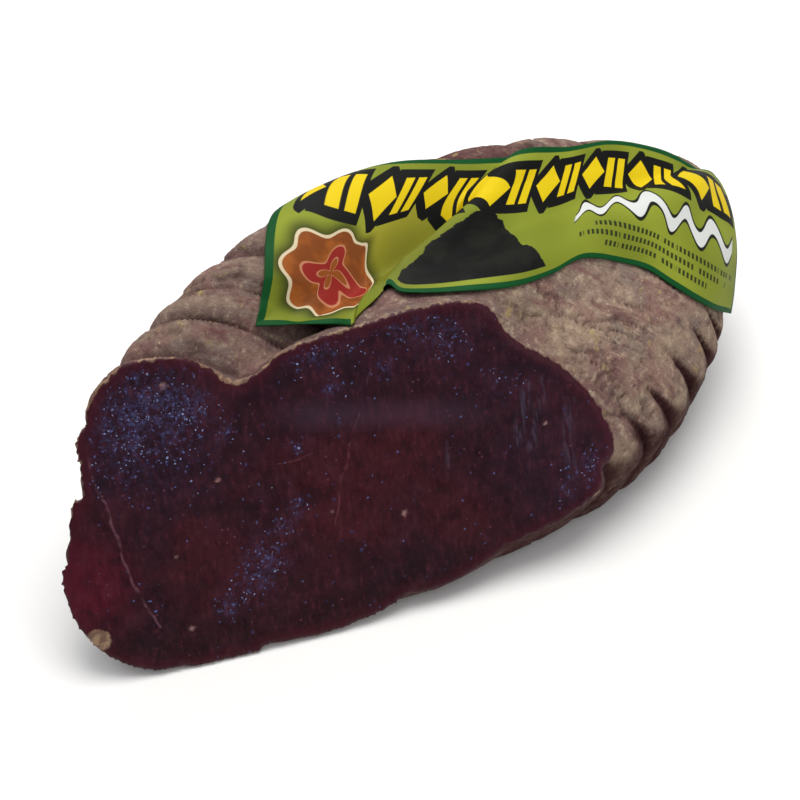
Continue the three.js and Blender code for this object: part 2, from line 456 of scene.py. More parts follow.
meat = {
    "voxel": 0.9 * mm,
    "highest": 0.35 * mm,  # how far the relief may stand out
    "relief": {
        "Crease depth": 1.25 * mm,
        "Crease width": 0.55 * mm,
        "Wrinkle depth": 1.0 * mm,
        "Grain depth": 0.35 * mm,
        "Flesh uneven": 0.3 * mm,
    },
}


# a merged copy of the CAD solid, rounded between its facets but crisp round the cut face and the foot
def softenedCopy(nodeName):
    bm = bmesh.new()
    bm.from_mesh(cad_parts[nodeName].data)
    bmesh.ops.remove_doubles(bm, verts=bm.verts, dist=5e-6)
    for face in bm.faces:
        onCut = face.normal.dot(cutNormal) > 0.9995
        onFoot = max(v.co.z for v in face.verts) < 1e-5
        face.material_index = 1 if onCut else 2 if onFoot else 0
    bmesh.ops.join_triangles(
        bm, faces=bm.faces, cmp_materials=True,
        angle_face_threshold=math.radians(30), angle_shape_threshold=math.radians(60))
    creases = bm.edges.layers.float.new("crease_edge")
    for edge in bm.edges:
        kinds = {face.material_index for face in edge.link_faces}
        edge[creases] = 1.0 if len(kinds) > 1 else 0.0
    for face in bm.faces:
        face.material_index = 0
    mesh = bpy.data.meshes.new("softened")
    bm.to_mesh(mesh)
    bm.free()
    piece = newPiece("softened", mesh)
    rounding = piece.modifiers.new("rounding", "SUBSURF")
    rounding.levels = rounding.render_levels = 2
    return applyAll(piece)


# thin cracks that branch and join between the rings
def cracks(netPlace):
    spread = wavered(vec("MULTIPLY", netPlace, (1.0, 0.5, 0.5)), netPlace, 140.0, 3.0, 0.009)
    line = fade(cells(spread, 12, feature="DISTANCE_TO_EDGE"), 0.05, 0.005)
    return times(line, fade(cloud(netPlace, 14, 2), 0.46, 0.56))


# moves the rind in and out by the net's thin creases, wrinkles and grain, and the cut face a little
def meatRelief(material):
    tree, given, groupOut = newTree("meatRelief", {**meat["relief"], "Material": material})
    place = node(tree, "GeometryNodeInputPosition").outputs[0]
    normal = node(tree, "GeometryNodeInputNormal").outputs[0]
    rindShare = attribute(tree, "rindShare")
    nearTips = attribute(tree, "nearTips")
    netPlace = attribute(tree, "netPlace", "FLOAT_VECTOR")

    def groove(away, widening):
        ratio = calc("DIVIDE", away, times(given.outputs["Crease width"], widening))
        return calc("EXPONENT", times(calc("POWER", ratio, 2.0), -1.0))

    # the creases come and go, but are wide and deep between the finger tips
    patchy = calc("MAXIMUM", fade(cloud(place, 15), 0.36, 0.58, 0.1, 1), nearTips)
    widening = calc("MULTIPLY_ADD", nearTips, 0.9, 1.0)
    deepening = calc("MULTIPLY_ADD", nearTips, 1.2, 1.0)
    ring = groove(attribute(tree, "ringAway"), widening)
    ring = times(ring, patchy, attribute(tree, "netShare"), deepening)
    crease = calc("MAXIMUM", ring, times(groove(attribute(tree, "strandAway"), 1.3), 0.9))
    crease = calc("MAXIMUM", crease, times(cracks(netPlace), 0.5))
    crease = times(crease, rindShare)

    # wrinkles run along the rings
    along = vec("MULTIPLY", netPlace, (1.0, 0.4, 0.4))
    wrinkle = times(minus(cloud(along, 6, 3, 0.55, 0.5), 0.5), given.outputs["Wrinkle depth"])
    grain = times(minus(cloud(place, 2.1, 2), 0.5), given.outputs["Grain depth"])
    rough = times(plus(wrinkle, grain), rindShare)
    sunk = times(crease, given.outputs["Crease depth"])
    flesh = times(minus(cloud(place, 11, 3), 0.5), attribute(tree, "fleshShare"))
    flesh = times(flesh, given.outputs["Flesh uneven"])
    height = plus(minus(rough, sunk), flesh)
    offset = scaleBy(normal, calc("MINIMUM", height, meat["highest"]))
    moved = node(tree, "GeometryNodeSetPosition", {"Geometry": given.outputs["Geometry"], "Offset": offset})
    hollow = node(tree, "GeometryNodeStoreNamedAttribute",
                  {"Geometry": moved.outputs[0], "Name": "hollow", "Value": crease},
                  data_type="FLOAT", domain="POINT")
    finishTree(hollow.outputs[0], given.outputs["Material"], groupOut)
    return tree


# clusters of moist glints on the cut face: millimetres along and up, radius, strength
glintClusters = (
    (-52, 69, 11, 1), (-42, 67, 5, 0.9), (-33.9, 60, 3, 0.4), (-60, 60, 8, 0.45), (-11, 76, 4, 0.9),
    (-4, 78, 6, 0.5), (13, 80, 4, 1), (8.6, 68, 2.2, 0.8), (-5.6, 65, 2.2, 1), (27.6, 71, 4, 0.6),
    (37.5, 56, 4, 0.3), (-17, 52, 1.6, 1), (-18.9, 37, 2.2, 1), (-22, 33, 3, 0.6), (-29, 25, 5, 0.8),
    (-40.2, 14.6, 3, 1), (-33, 19, 5, 0.4), (58.9, 30, 3.5, 0.6), (51, 25, 2.5, 0.6), (20, 75, 7, 0.4),
    (-46, 56, 14, 0.12),
)

# where the folds are like fingers: past this x, and in degrees above the front strand
fingers = {
    "fromX": 25,
    "fade": 8,
    "tipHeight": 10.5,
    "gapHeight": 12,  # the dark gap between two tips reaches this much higher
    "creaseHeight": 16,  # the creases between them widen below this
    "under": (338, 5),  # the dark underside ends at this angle, over these degrees
}


# what the relief and the finish need to know at each point
def storeFields(mesh):
    points, normals = pointsOf(mesh), pointsOf(mesh, "normal")
    drawing = toDrawing(points)
    x, angle = drawing[:, 0], angleAt(drawing)
    middle = ringMiddle(x, angle)
    turn = ringTurnAt(middle)
    store(mesh, "ringAway", np.abs(turn - np.round(turn)) * muscle["ringSpacing"] * 0.8 * mm)
    store(mesh, "netPlace", np.stack([middle, drawing[:, 1], drawing[:, 2]], axis=1) * mm)

    around = np.mod(np.degrees(angle), 360)
    fromStrand = around - muscle["frontStrand"] - muscle["strandSway"] * np.sin(x / muscle["swayLength"])
    reach = np.maximum(np.hypot(drawing[:, 1], drawing[:, 2] - 40), 20)
    store(mesh, "strandAway", np.radians(np.abs(fromStrand)) * reach * mm)
    flankBottom = muscle["flankBottom"] + muscle["flankLean"] * np.maximum(x, 0)
    flank = smoothStep(around, muscle["flankTop"], 4) - smoothStep(around, flankBottom, 2)
    store(mesh, "netShare", 1 - 0.95 * flank)
    # the folds end in round finger tips above the strand
    fingerShare = smoothStep(x, fingers["fromX"], fingers["fade"])
    hug = (1 - np.abs(np.sin(np.pi * turn))) ** 1.5
    tipsEnd = fromStrand + fingers["tipHeight"] + fingers["gapHeight"] * hug * fingerShare
    nearTips = smoothStep(fromStrand, -fingers["creaseHeight"], 2.5) * fingerShare
    store(mesh, "nearTips", nearTips * (fromStrand < 60))
    # the dark underside below the tips, partly painted shade
    store(mesh, "under", smoothStep(tipsEnd, 0, 0.7) * (1 - smoothStep(around, *fingers["under"])))
    hem = np.exp(-(((around - muscle["hemAngle"]) / 3.5) ** 2))
    store(mesh, "hem", hem * smoothStep(x, muscle["hemFrom"] - 15, muscle["hemFade"]))

    fromCut = points - np.array(cutAt)
    onCut = (fromCut @ np.array(cutNormal) > -0.6 * mm) & (normals @ np.array(cutNormal) > 0.8)
    flesh = onCut.astype(float)
    foot = np.clip(1 - points[:, 2] / (1.5 * mm), 0, 1)
    store(mesh, "fleshShare", flesh)
    store(mesh, "rindShare", (1 - flesh) * (1 - foot))
    rim = KDTree(int((flesh < 0.5).sum()))
    for i in np.flatnonzero(flesh < 0.5):
        rim.insert(points[i], int(i))
    rim.balance()
    away = np.zeros(len(points))
    for i in np.flatnonzero(flesh > 0.5):
        away[i] = rim.find(points[i])[2]
    store(mesh, "rimAway", away / mm)

    along, up = fromCut @ np.array(cutAlong) / mm, fromCut @ np.array(cutUp) / mm
    glint = sum(strength * np.exp(-((along - a) ** 2 + (up - u) ** 2) / radius ** 2)
                for a, u, radius, strength in glintClusters)
    store(mesh, "glint", np.clip(glint, 0, 1) * flesh * (away > 2 * mm))


# distance from a point to a line between two ends
def segmentGroup():
    tree = bpy.data.node_groups.new("awayFromLine", "ShaderNodeTree")
    for name in ("Point", "From", "To"):
        addSocket(tree, name, "INPUT", "Vector")
    addSocket(tree, "Away", "OUTPUT", "Float")
    given, made = node(tree, "NodeGroupInput"), node(tree, "NodeGroupOutput")
    line = vec("SUBTRACT", given.outputs["To"], given.outputs["From"])
    reach = vec("SUBTRACT", given.outputs["Point"], given.outputs["From"])
    dots = [measure("DOT_PRODUCT", other, line) for other in (reach, line)]
    share = node(tree, "ShaderNodeClamp", {0: calc("DIVIDE", *dots)}).outputs[0]
    tree.links.new(measure("DISTANCE", reach, scaleBy(line, share)), made.inputs[0])
    return tree


# distance in millimetres on the cut face from a path of (along, up) points
def awayFromPath(group, place, path):
    nearest = None
    for start, end in zip(path, path[1:]):
        ends = {"Point": place, "From": (*start, 0), "To": (*end, 0)}
        away = node(treeOf(place), "ShaderNodeGroup", ends, node_tree=group).outputs[0]
        nearest = away if nearest is None else calc("MINIMUM", nearest, away)
    return nearest


# places on the rind, in metres
rindMarks = {
    "paleAt": (0.038, -0.042, 0.038),  # on the flank
    "duskyAt": (-0.045, 0.04, 0.07),  # on the back lobe
    "darkRedAt": (0.042, 0.027, 0.071),  # at the back, above the label
}


# dried and mouldy, mottled tan, mauve and grey, dark red in the creases and underneath, partly painted shade
# there
def rindColour(tree, place, netPlace):
    def placed(x, y, z):
        return vec("ADD", place, (x, y, z))

    def alongRings(across):
        return vec("MULTIPLY", netPlace, (1, across, across))

    netShare, ringAway = attribute(tree, "netShare"), attribute(tree, "ringAway")
    pale = times(minus(1.0, netShare), near(place, rindMarks["paleAt"], 0.046, 0.022))
    dusky = near(place, rindMarks["duskyAt"], 0.07, 0.035)
    calm = calc("MULTIPLY_ADD", dusky, -0.5, 1.0)
    darkRed = near(place, rindMarks["darkRedAt"], 0.03, 0.012)
    rosy = fade(cloud(placed(0.3, 0.1, 0), 14, 3), 0.48, 0.66)
    grey = fade(cloud(placed(0.1, 0.4, 0), 10, 3), 0.5, 0.64)
    crest = times(fade(ringAway, 1.5 * mm, 5 * mm), netShare, 0.4)
    stain = cloud(alongRings(0.4), 6, 4, 0.6, 0.4)
    mottle = cloud(placed(0, 0.2, 0.1), 2.6, 6, 0.75)
    fibres = cloud(alongRings(0.3), 1.6, 4, 0.7, 0.5)
    wine = fade(cloud(placed(0.5, 0, 0.3), 8, 4, 0.6), 0.58, 0.7)
    wine = times(wine, calc("MULTIPLY_ADD", pale, -0.35, 0.6))
    yellow = fade(cloud(placed(0, 0.7, 0.3), 5, 4, 0.7), 0.6, 0.71, 0, 0.7)
    crumb = times(fade(cells(place, 1.9), 0.06, 0.24, 1, 0), fade(cloud(place, 8), 0.56, 0.66), 0.6)
    # partly painted shade, partly the creases' own dark red: darker along the ring grooves, most between the
    # finger tips
    groove = times(fade(ringAway, 1.3 * mm, 0.1 * mm), netShare,
                   calc("MULTIPLY_ADD", attribute(tree, "nearTips"), 0.4, 0.55))
    # partly painted shade, partly a darker red of its own: the underside below the finger tips
    under = times(attribute(tree, "under"), fade(mottle, 0.3, 0.7, 1, 0.8))
    worn = times(attribute(tree, "hem"), fade(cloud(place, 6, 3), 0.4, 0.58), 0.75)
    return tinted(
        patches(cloud(place, 24, 3), 0.4, 0.6, (124, 102, 95), (146, 125, 106)),
        (times(pale, 0.6), (160, 136, 117)),
        (times(dusky, 0.75), (94, 74, 71)),
        (times(rosy, 0.6), (124, 86, 84)),
        (times(grey, 0.5), (108, 96, 92)),
        (crest, (150, 128, 112)),
        (fade(stain, 0.54, 0.66, 0, 0.55), (112, 70, 72)),
        (times(fade(mottle, 0.52, 0.66, 0, 0.7), calm), (184, 164, 140)),
        (fade(mottle, 0.48, 0.35, 0, 0.65), (86, 64, 60)),
        (times(darkRed, 0.75), (78, 38, 46)),
        (times(fade(fibres, 0.56, 0.7, 0, 0.4), calm), (190, 170, 144)),
        (fade(fibres, 0.44, 0.32, 0, 0.45), (84, 60, 58)),
        (wine, (88, 46, 52)),
        (yellow, (168, 146, 92)),
        (crumb, (208, 194, 164)),
        (groove, (66, 38, 38)),
        # painted shade: darker by the depth of each crease
        (times(attribute(tree, "hollow"), 0.95), (44, 24, 24)),
        (under, (56, 24, 26)),
        (worn, (128, 98, 84)),
    )


# what shows on the cut face, in millimetres along the cut and up it
fleshMarks = {
    # the middle of a glow, where it ends and where it is full, its share and its tone
    "glows": (
        ((0, 42, 0), 30, 8, 0.5, (64, 21, 28)),
        ((-76, 27, 0), 20, 4, 0.75, (84, 16, 34)),
        # painted reflection: the bluish tone at the upper left
        ((-53, 62, 0), 30, 6, 0.75, (36, 19, 33)),
        ((52, 36, 0), 26, 8, 0.55, (42, 23, 38)),
    ),
    # half width, share and tone of the seam, the sinew and the scratch, and their points
    "lines": (
        (0.42, 0.6, (120, 80, 92),
         ((-68.1, 62), (-68, 54.7), (-65.8, 46.3), (-64.6, 32.7), (-62.3, 24), (-59, 13.7))),
        (0.3, 0.45, (116, 62, 68), ((-21.9, 48.9), (-14, 49.2), (-4.8, 50.5), (-3.2, 49.5), (-10.5, 30.3))),
        (0.22, 0.5, (92, 66, 78), ((5.3, 68.5), (-3.2, 49.5))),
    ),
    # painted reflections: pale bluish streaks of sheen, each a path of points
    "sheenStreaks": (((44.5, 55.3), (39.8, 40.8)), ((48.9, 55.2), (43.4, 39.2)), ((21.5, 44.1), (20.9, 39.6)),
               ((55.4, 48.4), (53, 38.5), (53.6, 28.7))),
    # each with its radius
    "spots": ((-37.5, 48.1, 1.1), (-46.4, 74.7, 1.2), (-50.9, 11.4, 1), (-51.3, 30.9, 0.8), (8, 28.8, 0.9),
              (-10.6, 33.5, 0.8), (48.2, 43.7, 0.7)),
    "fat": ((-74.2, 13.5, 3.2), (63.5, 27, 2.2), (60, 21.5, 1.6)),
    "notch": (-30.4, 71.8),
}


# dark maroon, redder at the low left and in the middle; the bluish tone at the upper left is a painted
# reflection
def fleshColour(tree, place, onFace, along, up):
    colour = patches(cloud(place, 30, 2), 0.4, 0.62, (43, 17, 27), (58, 20, 28))
    colour = glowing(colour, onFace, fleshMarks["glows"])
    # painted reflection: a dark bluish tone over the upper left
    upper = times(fade(up, 48, 62), fade(along, -34, -16))
    fibre = cloud(vec("MULTIPLY", onFace, (1, 0.35, 0)), 1400, 4, 0.7)
    cloudy = cloud(vec("ADD", place, (0.3, 0, 0.1)), 6, 5, 0.7)
    # a pale painted sheen below the upper rim
    sheenAway = apart(up, calc("MULTIPLY_ADD", along, -0.2, 57.0))
    sheenBand = times(fade(sheenAway, 6, 0), fade(along, -24, -12), fade(along, 40, 20), 0.35)
    colour = tinted(
        colour,
        (fade(up, 26, 4, 0, 0.8), (32, 13, 19)),
        (times(upper, 0.6), (36, 17, 30)),
        (fade(fibre, 0.5, 0.74, 0, 0.45), (92, 42, 54)),
        (fade(fibre, 0.52, 0.28, 0, 0.55), (24, 10, 16)),
        (fade(cloudy, 0.5, 0.7, 0, 0.4), (74, 34, 46)),
        (fade(cloudy, 0.5, 0.34, 0, 0.5), (24, 10, 17)),
        (sheenBand, (72, 52, 68)),
    )

    group = segmentGroup()
    ragged = times(cloud(place, 2.5, 3), 1.2)
    torn = times(cloud(place, 1.4, 4, 0.7), 3.0)
    patchy = fade(cloud(place, 5, 2), 0.36, 0.56, 0.25, 1)
    wavering = wavered(onFace, place, 150.0, 3.0, 3.2)
    for width, share, tone, path in fleshMarks["lines"]:
        away = minus(awayFromPath(group, wavering, path), times(ragged, width))
        line = fade(away, width * 0.7, -width * 0.6)
        colour = tinted(colour, (times(line, patchy, share), tone))
    # painted reflections: pale bluish sheen streaks, broken up along their length
    streaks = fade(cloud(vec("MULTIPLY", onFace, (1, 0.15, 0)), 1200, 3), 0.45, 0.6)
    for path in fleshMarks["sheenStreaks"]:
        line = fade(awayFromPath(group, onFace, path), 2.4, 0.2)
        colour = tinted(colour, (times(line, streaks, 0.26), (88, 84, 106)))
    for x, y, size in fleshMarks["spots"]:
        away = minus(measure("DISTANCE", wavering, (x, y, 0)), torn)
        colour = tinted(colour, (fade(away, size - 1.4, -1.6, 0, 0.85), (150, 112, 108)))

    # painted glints: a bluish tint and dull bluish specks, thick in the clusters and few elsewhere; then
    # pinkish flecks
    glintCrowd = times(attribute(tree, "glint"), fade(cloud(place, 4, 3, 0.6), 0.36, 0.62, 0.25, 1))
    glintTint = times(glintCrowd, fade(cloud(place, 1.3, 4, 0.7), 0.42, 0.62))
    colour = tinted(colour, (times(glintTint, 0.65), (66, 62, 98)))
    bent = wavered(place, place, 1100.0, 2.0, 0.0013)
    for size, tone, share in ((1.5, (60, 60, 98), 0.8), (0.9, (88, 98, 148), 0.95)):
        glintSpeck = node(tree, "ShaderNodeTexVoronoi", {"Vector": bent, "Scale": 1000 / size})
        chance = node(tree, "ShaderNodeSeparateColor", {0: glintSpeck.outputs["Color"]})
        dot = fade(glintSpeck.outputs["Distance"], 0.46, 0.16)
        chosen = calc("LESS_THAN", chance.outputs[0], calc("MULTIPLY_ADD", glintCrowd, 0.85, 0.02))
        colour = tinted(colour, (times(dot, chosen, chance.outputs[1], share), tone))
    fleck = fade(cells(vec("ADD", place, (0.1, 0.2, 0.3)), 2.8), 0.14, 0.06)
    fleck = times(fleck, fade(cloud(place, 13), 0.5, 0.6), 0.5)
    return tinted(colour, (fleck, (120, 72, 84)))


# the rim is a thin, broken tan layer that thickens in the notch, then a redder band
def rimmedFlesh(tree, flesh, place, onFace, up):
    uneven = times(minus(cloud(place, 4, 4, 0.65), 0.5), 3.0)
    rimAway = plus(attribute(tree, "rimAway"), uneven)
    flesh = tinted(flesh, (fade(rimAway, 4.5, 0.6, 0, 0.42), (74, 18, 32)))
    notch = times(near(onFace, (*fleshMarks["notch"], 0), 6, 1), 0.7)
    width = plus(notch, fade(up, 40, 66, -0.3, 0.45))
    rimShare = fade(minus(rimAway, width), 0.3, -0.2)
    ragged = times(cloud(place, 2.5, 3), 2.4)
    for x, y, size in fleshMarks["fat"]:
        away = minus(measure("DISTANCE", onFace, (x, y, 0)), ragged)
        rimShare = calc("MAXIMUM", rimShare, fade(away, size - 1, size - 1.8))
    fat = patches(cloud(place, 2), 0.4, 0.6, (110, 84, 72), (150, 122, 98))
    return blend(rimShare, flesh, fat)


def meatMaterial():
    material, tree, shader = newMaterial("driedRindAndFlesh")
    place = node(tree, "ShaderNodeTexCoord").outputs["Object"]
    fromCut = vec("SUBTRACT", place, cutAt)
    along, up, out = (times(measure("DOT_PRODUCT", fromCut, tuple(axis)), 1000.0)
                      for axis in (cutAlong, cutUp, cutNormal))
    onFace = node(tree, "ShaderNodeCombineXYZ", {0: along, 1: up}).outputs[0]
    rind = rindColour(tree, place, attribute(tree, "netPlace", "FLOAT_VECTOR"))
    # painted shade: the rind is darker beside the cut, most of all low down and at the left
    paintedEdgeShade = calc("MAXIMUM", fade(along, -52, -66, 0.2, 1), fade(up, 22, 8, 0.2, 1))
    rind = tinted(rind, (times(fade(out, -9, -1.5), paintedEdgeShade, 0.6), (84, 60, 54)))
    flesh = rimmedFlesh(tree, fleshColour(tree, place, onFace, along, up), place, onFace, up)

    wobble = plus(out, times(minus(cloud(place, 2), 0.5), 0.3))
    fleshShare = fade(wobble, -0.75, -0.45)
    moist = minus(0.36, fade(cloud(place, 5), 0.4, 0.7, 0, 0.1))
    gloss = node(tree, "ShaderNodeMix", {0: fleshShare, 2: 0.84, 3: moist}, data_type="FLOAT").outputs[0]
    pores = plus(cloud(place, 0.8, 3, 0.7), times(cloud(place, 2.4, 4, 0.65), 1.8))
    dents = plus(cloud(place, 1.2, 3, 0.6), times(cloud(place, 5, 2), 2.0))
    bumps = {4: bump(0.6, 0.0007, pores), 5: bump(0.4, 0.0003, dents)}
    setInputs(shader, {
        "Base Color": blend(fleshShare, rind, flesh),
        "Roughness": gloss,
        "Normal": node(tree, "ShaderNodeMix", {0: fleshShare, **bumps}, data_type="VECTOR").outputs[1],
        "Specular IOR Level": 0.15,
    })
    return material


def makeMeat():
    piece = softenedCopy("meat")
    remesh = piece.modifiers.new("remesh", "REMESH")
    remesh.mode = "VOXEL"
    remesh.voxel_size = meat["voxel"]
    remesh.use_smooth_shade = True
    applyAll(piece)
    piece.name = "venisonMuscle"
    storeFields(piece.data)
    material = meatMaterial()
    runTree(piece, meatRelief(material), {**meat["relief"], "Material": material})
    piece.data.shade_smooth()
    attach(piece, "root")
    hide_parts("meat")
    return piece


muscleObject = makeMeat()
print("muscle ready:", len(muscleObject.data.polygons), "faces")


beads = {
    "inputs": {
        "Density": 1.1e6,  # for each square metre, where a cluster is densest
        "Seed": 11.0,
    },
    "smallest": (0.14 * mm, 0.12 * mm, 0.04 * mm),
    "largest": (0.46 * mm, 0.3 * mm, 0.1 * mm),
    "segments": 8,
    "rings": 5,
}


# flattened beads of moisture on a surface, thicker where the glint attribute is high
def beadTree(material):
    tree, given, groupOut = newTree("moistureBeads", {**beads["inputs"], "Material": material})
    place = node(tree, "GeometryNodeInputPosition").outputs[0]
    patchy = fade(cloud(place, 3.5, 3, 0.6), 0.46, 0.62)
    density = times(attribute(tree, "glint"), patchy, given.outputs["Density"])
    spots = node(tree, "GeometryNodeDistributePointsOnFaces",
                 {"Mesh": given.outputs["Geometry"], "Density": density, "Seed": given.outputs["Seed"]},
                 distribute_method="RANDOM")
    ball = {"Segments": beads["segments"], "Rings": beads["rings"], "Radius": 1.0}
    bead = node(tree, "GeometryNodeMeshUVSphere", ball).outputs[0]
    bead = node(tree, "GeometryNodeSetShadeSmooth", {"Geometry": bead}).outputs[0]

    def chance(low, high, seed):
        values = {2: low, 3: high, "Seed": seed}
        return node(tree, "FunctionNodeRandomValue", values, data_type="FLOAT").outputs[1]

    turned = node(tree, "FunctionNodeEulerToRotation",
                  {0: node(tree, "ShaderNodeCombineXYZ", {2: chance(0.0, 3.1416, 3)}).outputs[0]}).outputs[0]
    rotation = node(tree, "FunctionNodeRotateRotation", {0: spots.outputs["Rotation"], 1: turned},
                    rotation_space="LOCAL").outputs[0]
    size = node(tree, "FunctionNodeRandomValue", {0: beads["smallest"], 1: beads["largest"], "Seed": 5},
                data_type="FLOAT_VECTOR").outputs[0]
    placed = node(tree, "GeometryNodeInstanceOnPoints",
                  {"Points": spots.outputs["Points"], "Instance": bead, "Rotation": rotation,
                   "Scale": scaleBy(size, chance(0.35, 1.0, 8))}).outputs[0]
    finishTree(placed, given.outputs["Material"], groupOut)
    return tree


def makeBeads(underneath):
    material, tree, shader = newMaterial("moistureGlint")
    place = node(tree, "ShaderNodeTexCoord").outputs["Object"]
    # painted glint: the beads' pale blue tone stands in for glints, on top of the highlights their gloss
    # catches
    tone = patches(cloud(place, 3), 0.4, 0.6, (48, 50, 88), (128, 142, 186))
    setInputs(shader, {"Base Color": tone, "Roughness": 0.2})
    piece = newPiece("moistureBeads", underneath.data.copy())
    piece.data.materials.clear()
    runTree(piece, beadTree(material), {**beads["inputs"], "Material": material})
    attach(piece, "root")
    return piece


beadObject = makeBeads(muscleObject)
print("beads ready:", len(beadObject.data.polygons), "faces")


label = {
    "lower": ((-34.2, 4.4, 67.8), (-27.6, -1.5, 66.8), (-21, -10.1, 67.2), (-19.8, -15, 69.1),
              (-16.5, -13.5, 68.1), (-10.4, -12.2, 67.1), (-1.8, -12.3, 67.1), (-2.1, -17.2, 68.2),
              (2, -24.3, 69.8), (11.9, -32.1, 68.8), (20.4, -35.8, 66.8), (31.3, -38, 64.4),
              (43.8, -39.2, 62.1), (55, -44.7, 56.2), (60.5, -49, 52.5), (64.1, -54.8, 47.9),
              (69.1, -59.9, 42), (75, -61.8, 35.6), (86, -63, 27)),
    "upper": ((17, 25.3, 73.5), (24.5, 19.3, 75), (35.7, 9.2, 74.6), (47, 1.8, 72), (58, -4, 69),
              (73.5, -10.5, 65.5), (89, -14.5, 60.5), (102, -21, 54.5), (111, -28.5, 48), (117, -38, 39)),
    "columns": 260,
    "rows": 90,
    "thickness": 0.22,
    "lift": 0.3,
    "clearance": 0.25,  # the least gap to the meat's relief
    "leftBow": 5.5,  # how far the left end curves outward, and which way
    "endward": (-12, 10, 3),
    "spannedLeft": 0.3,  # how much of the valley the paper bridges before and after the fold
    "spannedRight": 0.95,
    "tuck": 0.25,  # the lower edge of the left panel bridges the furrow over this share of the width
    "hiddenFrom": 22.9,  # where the front lobe hides the lower border, in millimetres of the print
    "hiddenTo": 40.2,
    "foldLower": 0.272,
    "foldUpper": 0.43,
    "foldBow": 0.03,
    "foldHeight": 2.1,
    "foldLeft": 2.6,
    "foldRight": 11,
    "overlap": 5,  # how far the fold leans over the left panel
    "cockle": 0.2,
    "length": 150,  # millimetres, for the print
    "width": 53,
}


# points at these shares of the length of a smooth curve through the corners
def guideCurve(corners, shares):
    p = np.array(corners, dtype=float)
    p = np.vstack([2 * p[0] - p[1], p, 2 * p[-1] - p[-2]])
    dense = []
    for i in range(1, len(p) - 2):
        p0, p1, p2, p3 = p[i - 1:i + 3]
        d0, d1, d2 = (max(np.linalg.norm(b - a) ** 0.5, 1e-4) for a, b in ((p0, p1), (p1, p2), (p2, p3)))
        t1 = ((p1 - p0) / d0 - (p2 - p0) / (d0 + d1) + (p2 - p1) / d1) * d1
        t2 = ((p2 - p1) / d1 - (p3 - p1) / (d1 + d2) + (p3 - p2) / d2) * d1
        square = 3 * (p2 - p1) - 2 * t1 - t2
        cube = 2 * (p1 - p2) + t1 + t2
        for s in np.linspace(0, 1, 40, endpoint=False):
            dense.append(p1 + t1 * s + square * s ** 2 + cube * s ** 3)
    dense = np.array(dense + [p[-2]])
    run = np.concatenate([[0], np.cumsum(np.linalg.norm(np.diff(dense, axis=0), axis=1))])
    return np.stack([np.interp(shares * run[-1], run, dense[:, k]) for k in range(3)], axis=-1)


# how far each point is outside the muscle, with this share of its valley bridged
def paperField(points, spanned):
    x = np.clip(points[:, 0], muscle["leftTip"][0] + 0.1, muscle["rightTip"][0] - 0.1)
    t, y, z = middleAt(x)
    angle = np.arctan2(points[:, 2] - z, points[:, 1] - y)
    away = np.sqrt((points[:, 1] - y) ** 2 + (points[:, 2] - z) ** 2 + (points[:, 0] - x) ** 2)
    return away - smoothRadius(x, angle, t, spanned) - lumpAt(x, angle) * t


def paperSlope(points, spanned):
    steps = np.eye(3) * 0.4
    slopes = [(paperField(points + s, spanned) - paperField(points - s, spanned)) / 0.8 for s in steps]
    return np.stack(slopes, axis=-1)


# moves points onto the muscle
def settle(points, spanned):
    for _ in range(5):
        slope = paperSlope(points, spanned)
        points = points - slope * (paperField(points, spanned) / (slope ** 2).sum(axis=1))[:, None]
    return points


# the paper's underside as rows of points, with the way out and each point's place on the print
def labelPoints():
    columns, rows = label["columns"], label["rows"]
    foldColumn = int(columns * 0.4)
    i, j = np.meshgrid(np.arange(columns + 1), np.arange(rows + 1), indexing="ij")
    v = j / rows
    foldAt = label["foldLower"] + (label["foldUpper"] - label["foldLower"]) * v
    foldAt = foldAt - label["foldBow"] * 4 * v * (1 - v)
    after = foldAt + (1 - foldAt) * (i - foldColumn) / (columns - foldColumn)
    u = np.where(i < foldColumn, foldAt * i / foldColumn, after)
    u, v, foldAt = u.ravel(), v.ravel(), foldAt.ravel()
    away = (u - foldAt) * label["length"]
    tucked = np.clip(v / label["tuck"], 0, 1)
    beyondFold = smoothStep(away, -1, 1.2)
    spanned = label["spannedLeft"] * tucked * (1 - beyondFold) + label["spannedRight"] * beyondFold
    free = (1 - tucked) * (1 - smoothStep(u, label["foldLower"], 0.006))
    lower = guideCurve(label["lower"], u)
    lower = lower * free[:, None] + settle(lower, spanned) * (1 - free[:, None])
    upper = settle(guideCurve(label["upper"], u), spanned)
    endward = np.array(label["endward"]) / np.linalg.norm(label["endward"])
    bow = label["leftBow"] * 4 * v * (1 - v) * (1 - u) ** 4
    spots = lower + (upper - lower) * v[:, None] + endward * bow[:, None]
    spots = spots * free[:, None] + settle(spots, spanned) * (1 - free[:, None])
    slope = paperSlope(spots, spanned)
    normals = slope / np.linalg.norm(slope, axis=1)[:, None]
    width = np.where(away < 0, label["foldLeft"], label["foldRight"])
    ripple = label["cockle"] * (np.sin(u * 31 + v * 5) * np.sin(v * 7 - u * 9) + 1) * (0.3 + 0.7 * tucked)
    off = label["lift"] + ripple + label["foldHeight"] * (0.3 + 0.7 * v) * np.exp(-((away / width) ** 2))
    grid = spots.reshape(columns + 1, rows + 1, 3)
    alongPaper = np.gradient(grid, axis=0).reshape(-1, 3)
    alongPaper /= np.linalg.norm(alongPaper, axis=1)[:, None]
    lean = label["overlap"] * (0.45 + 0.55 * v) * np.exp(-(((away - 0.5) / 3.4) ** 2))
    inner = spots + normals * off[:, None] - alongPaper * lean[:, None]
    return (inner + np.array(muscle["zeroAt"])) * mm, normals, u, v


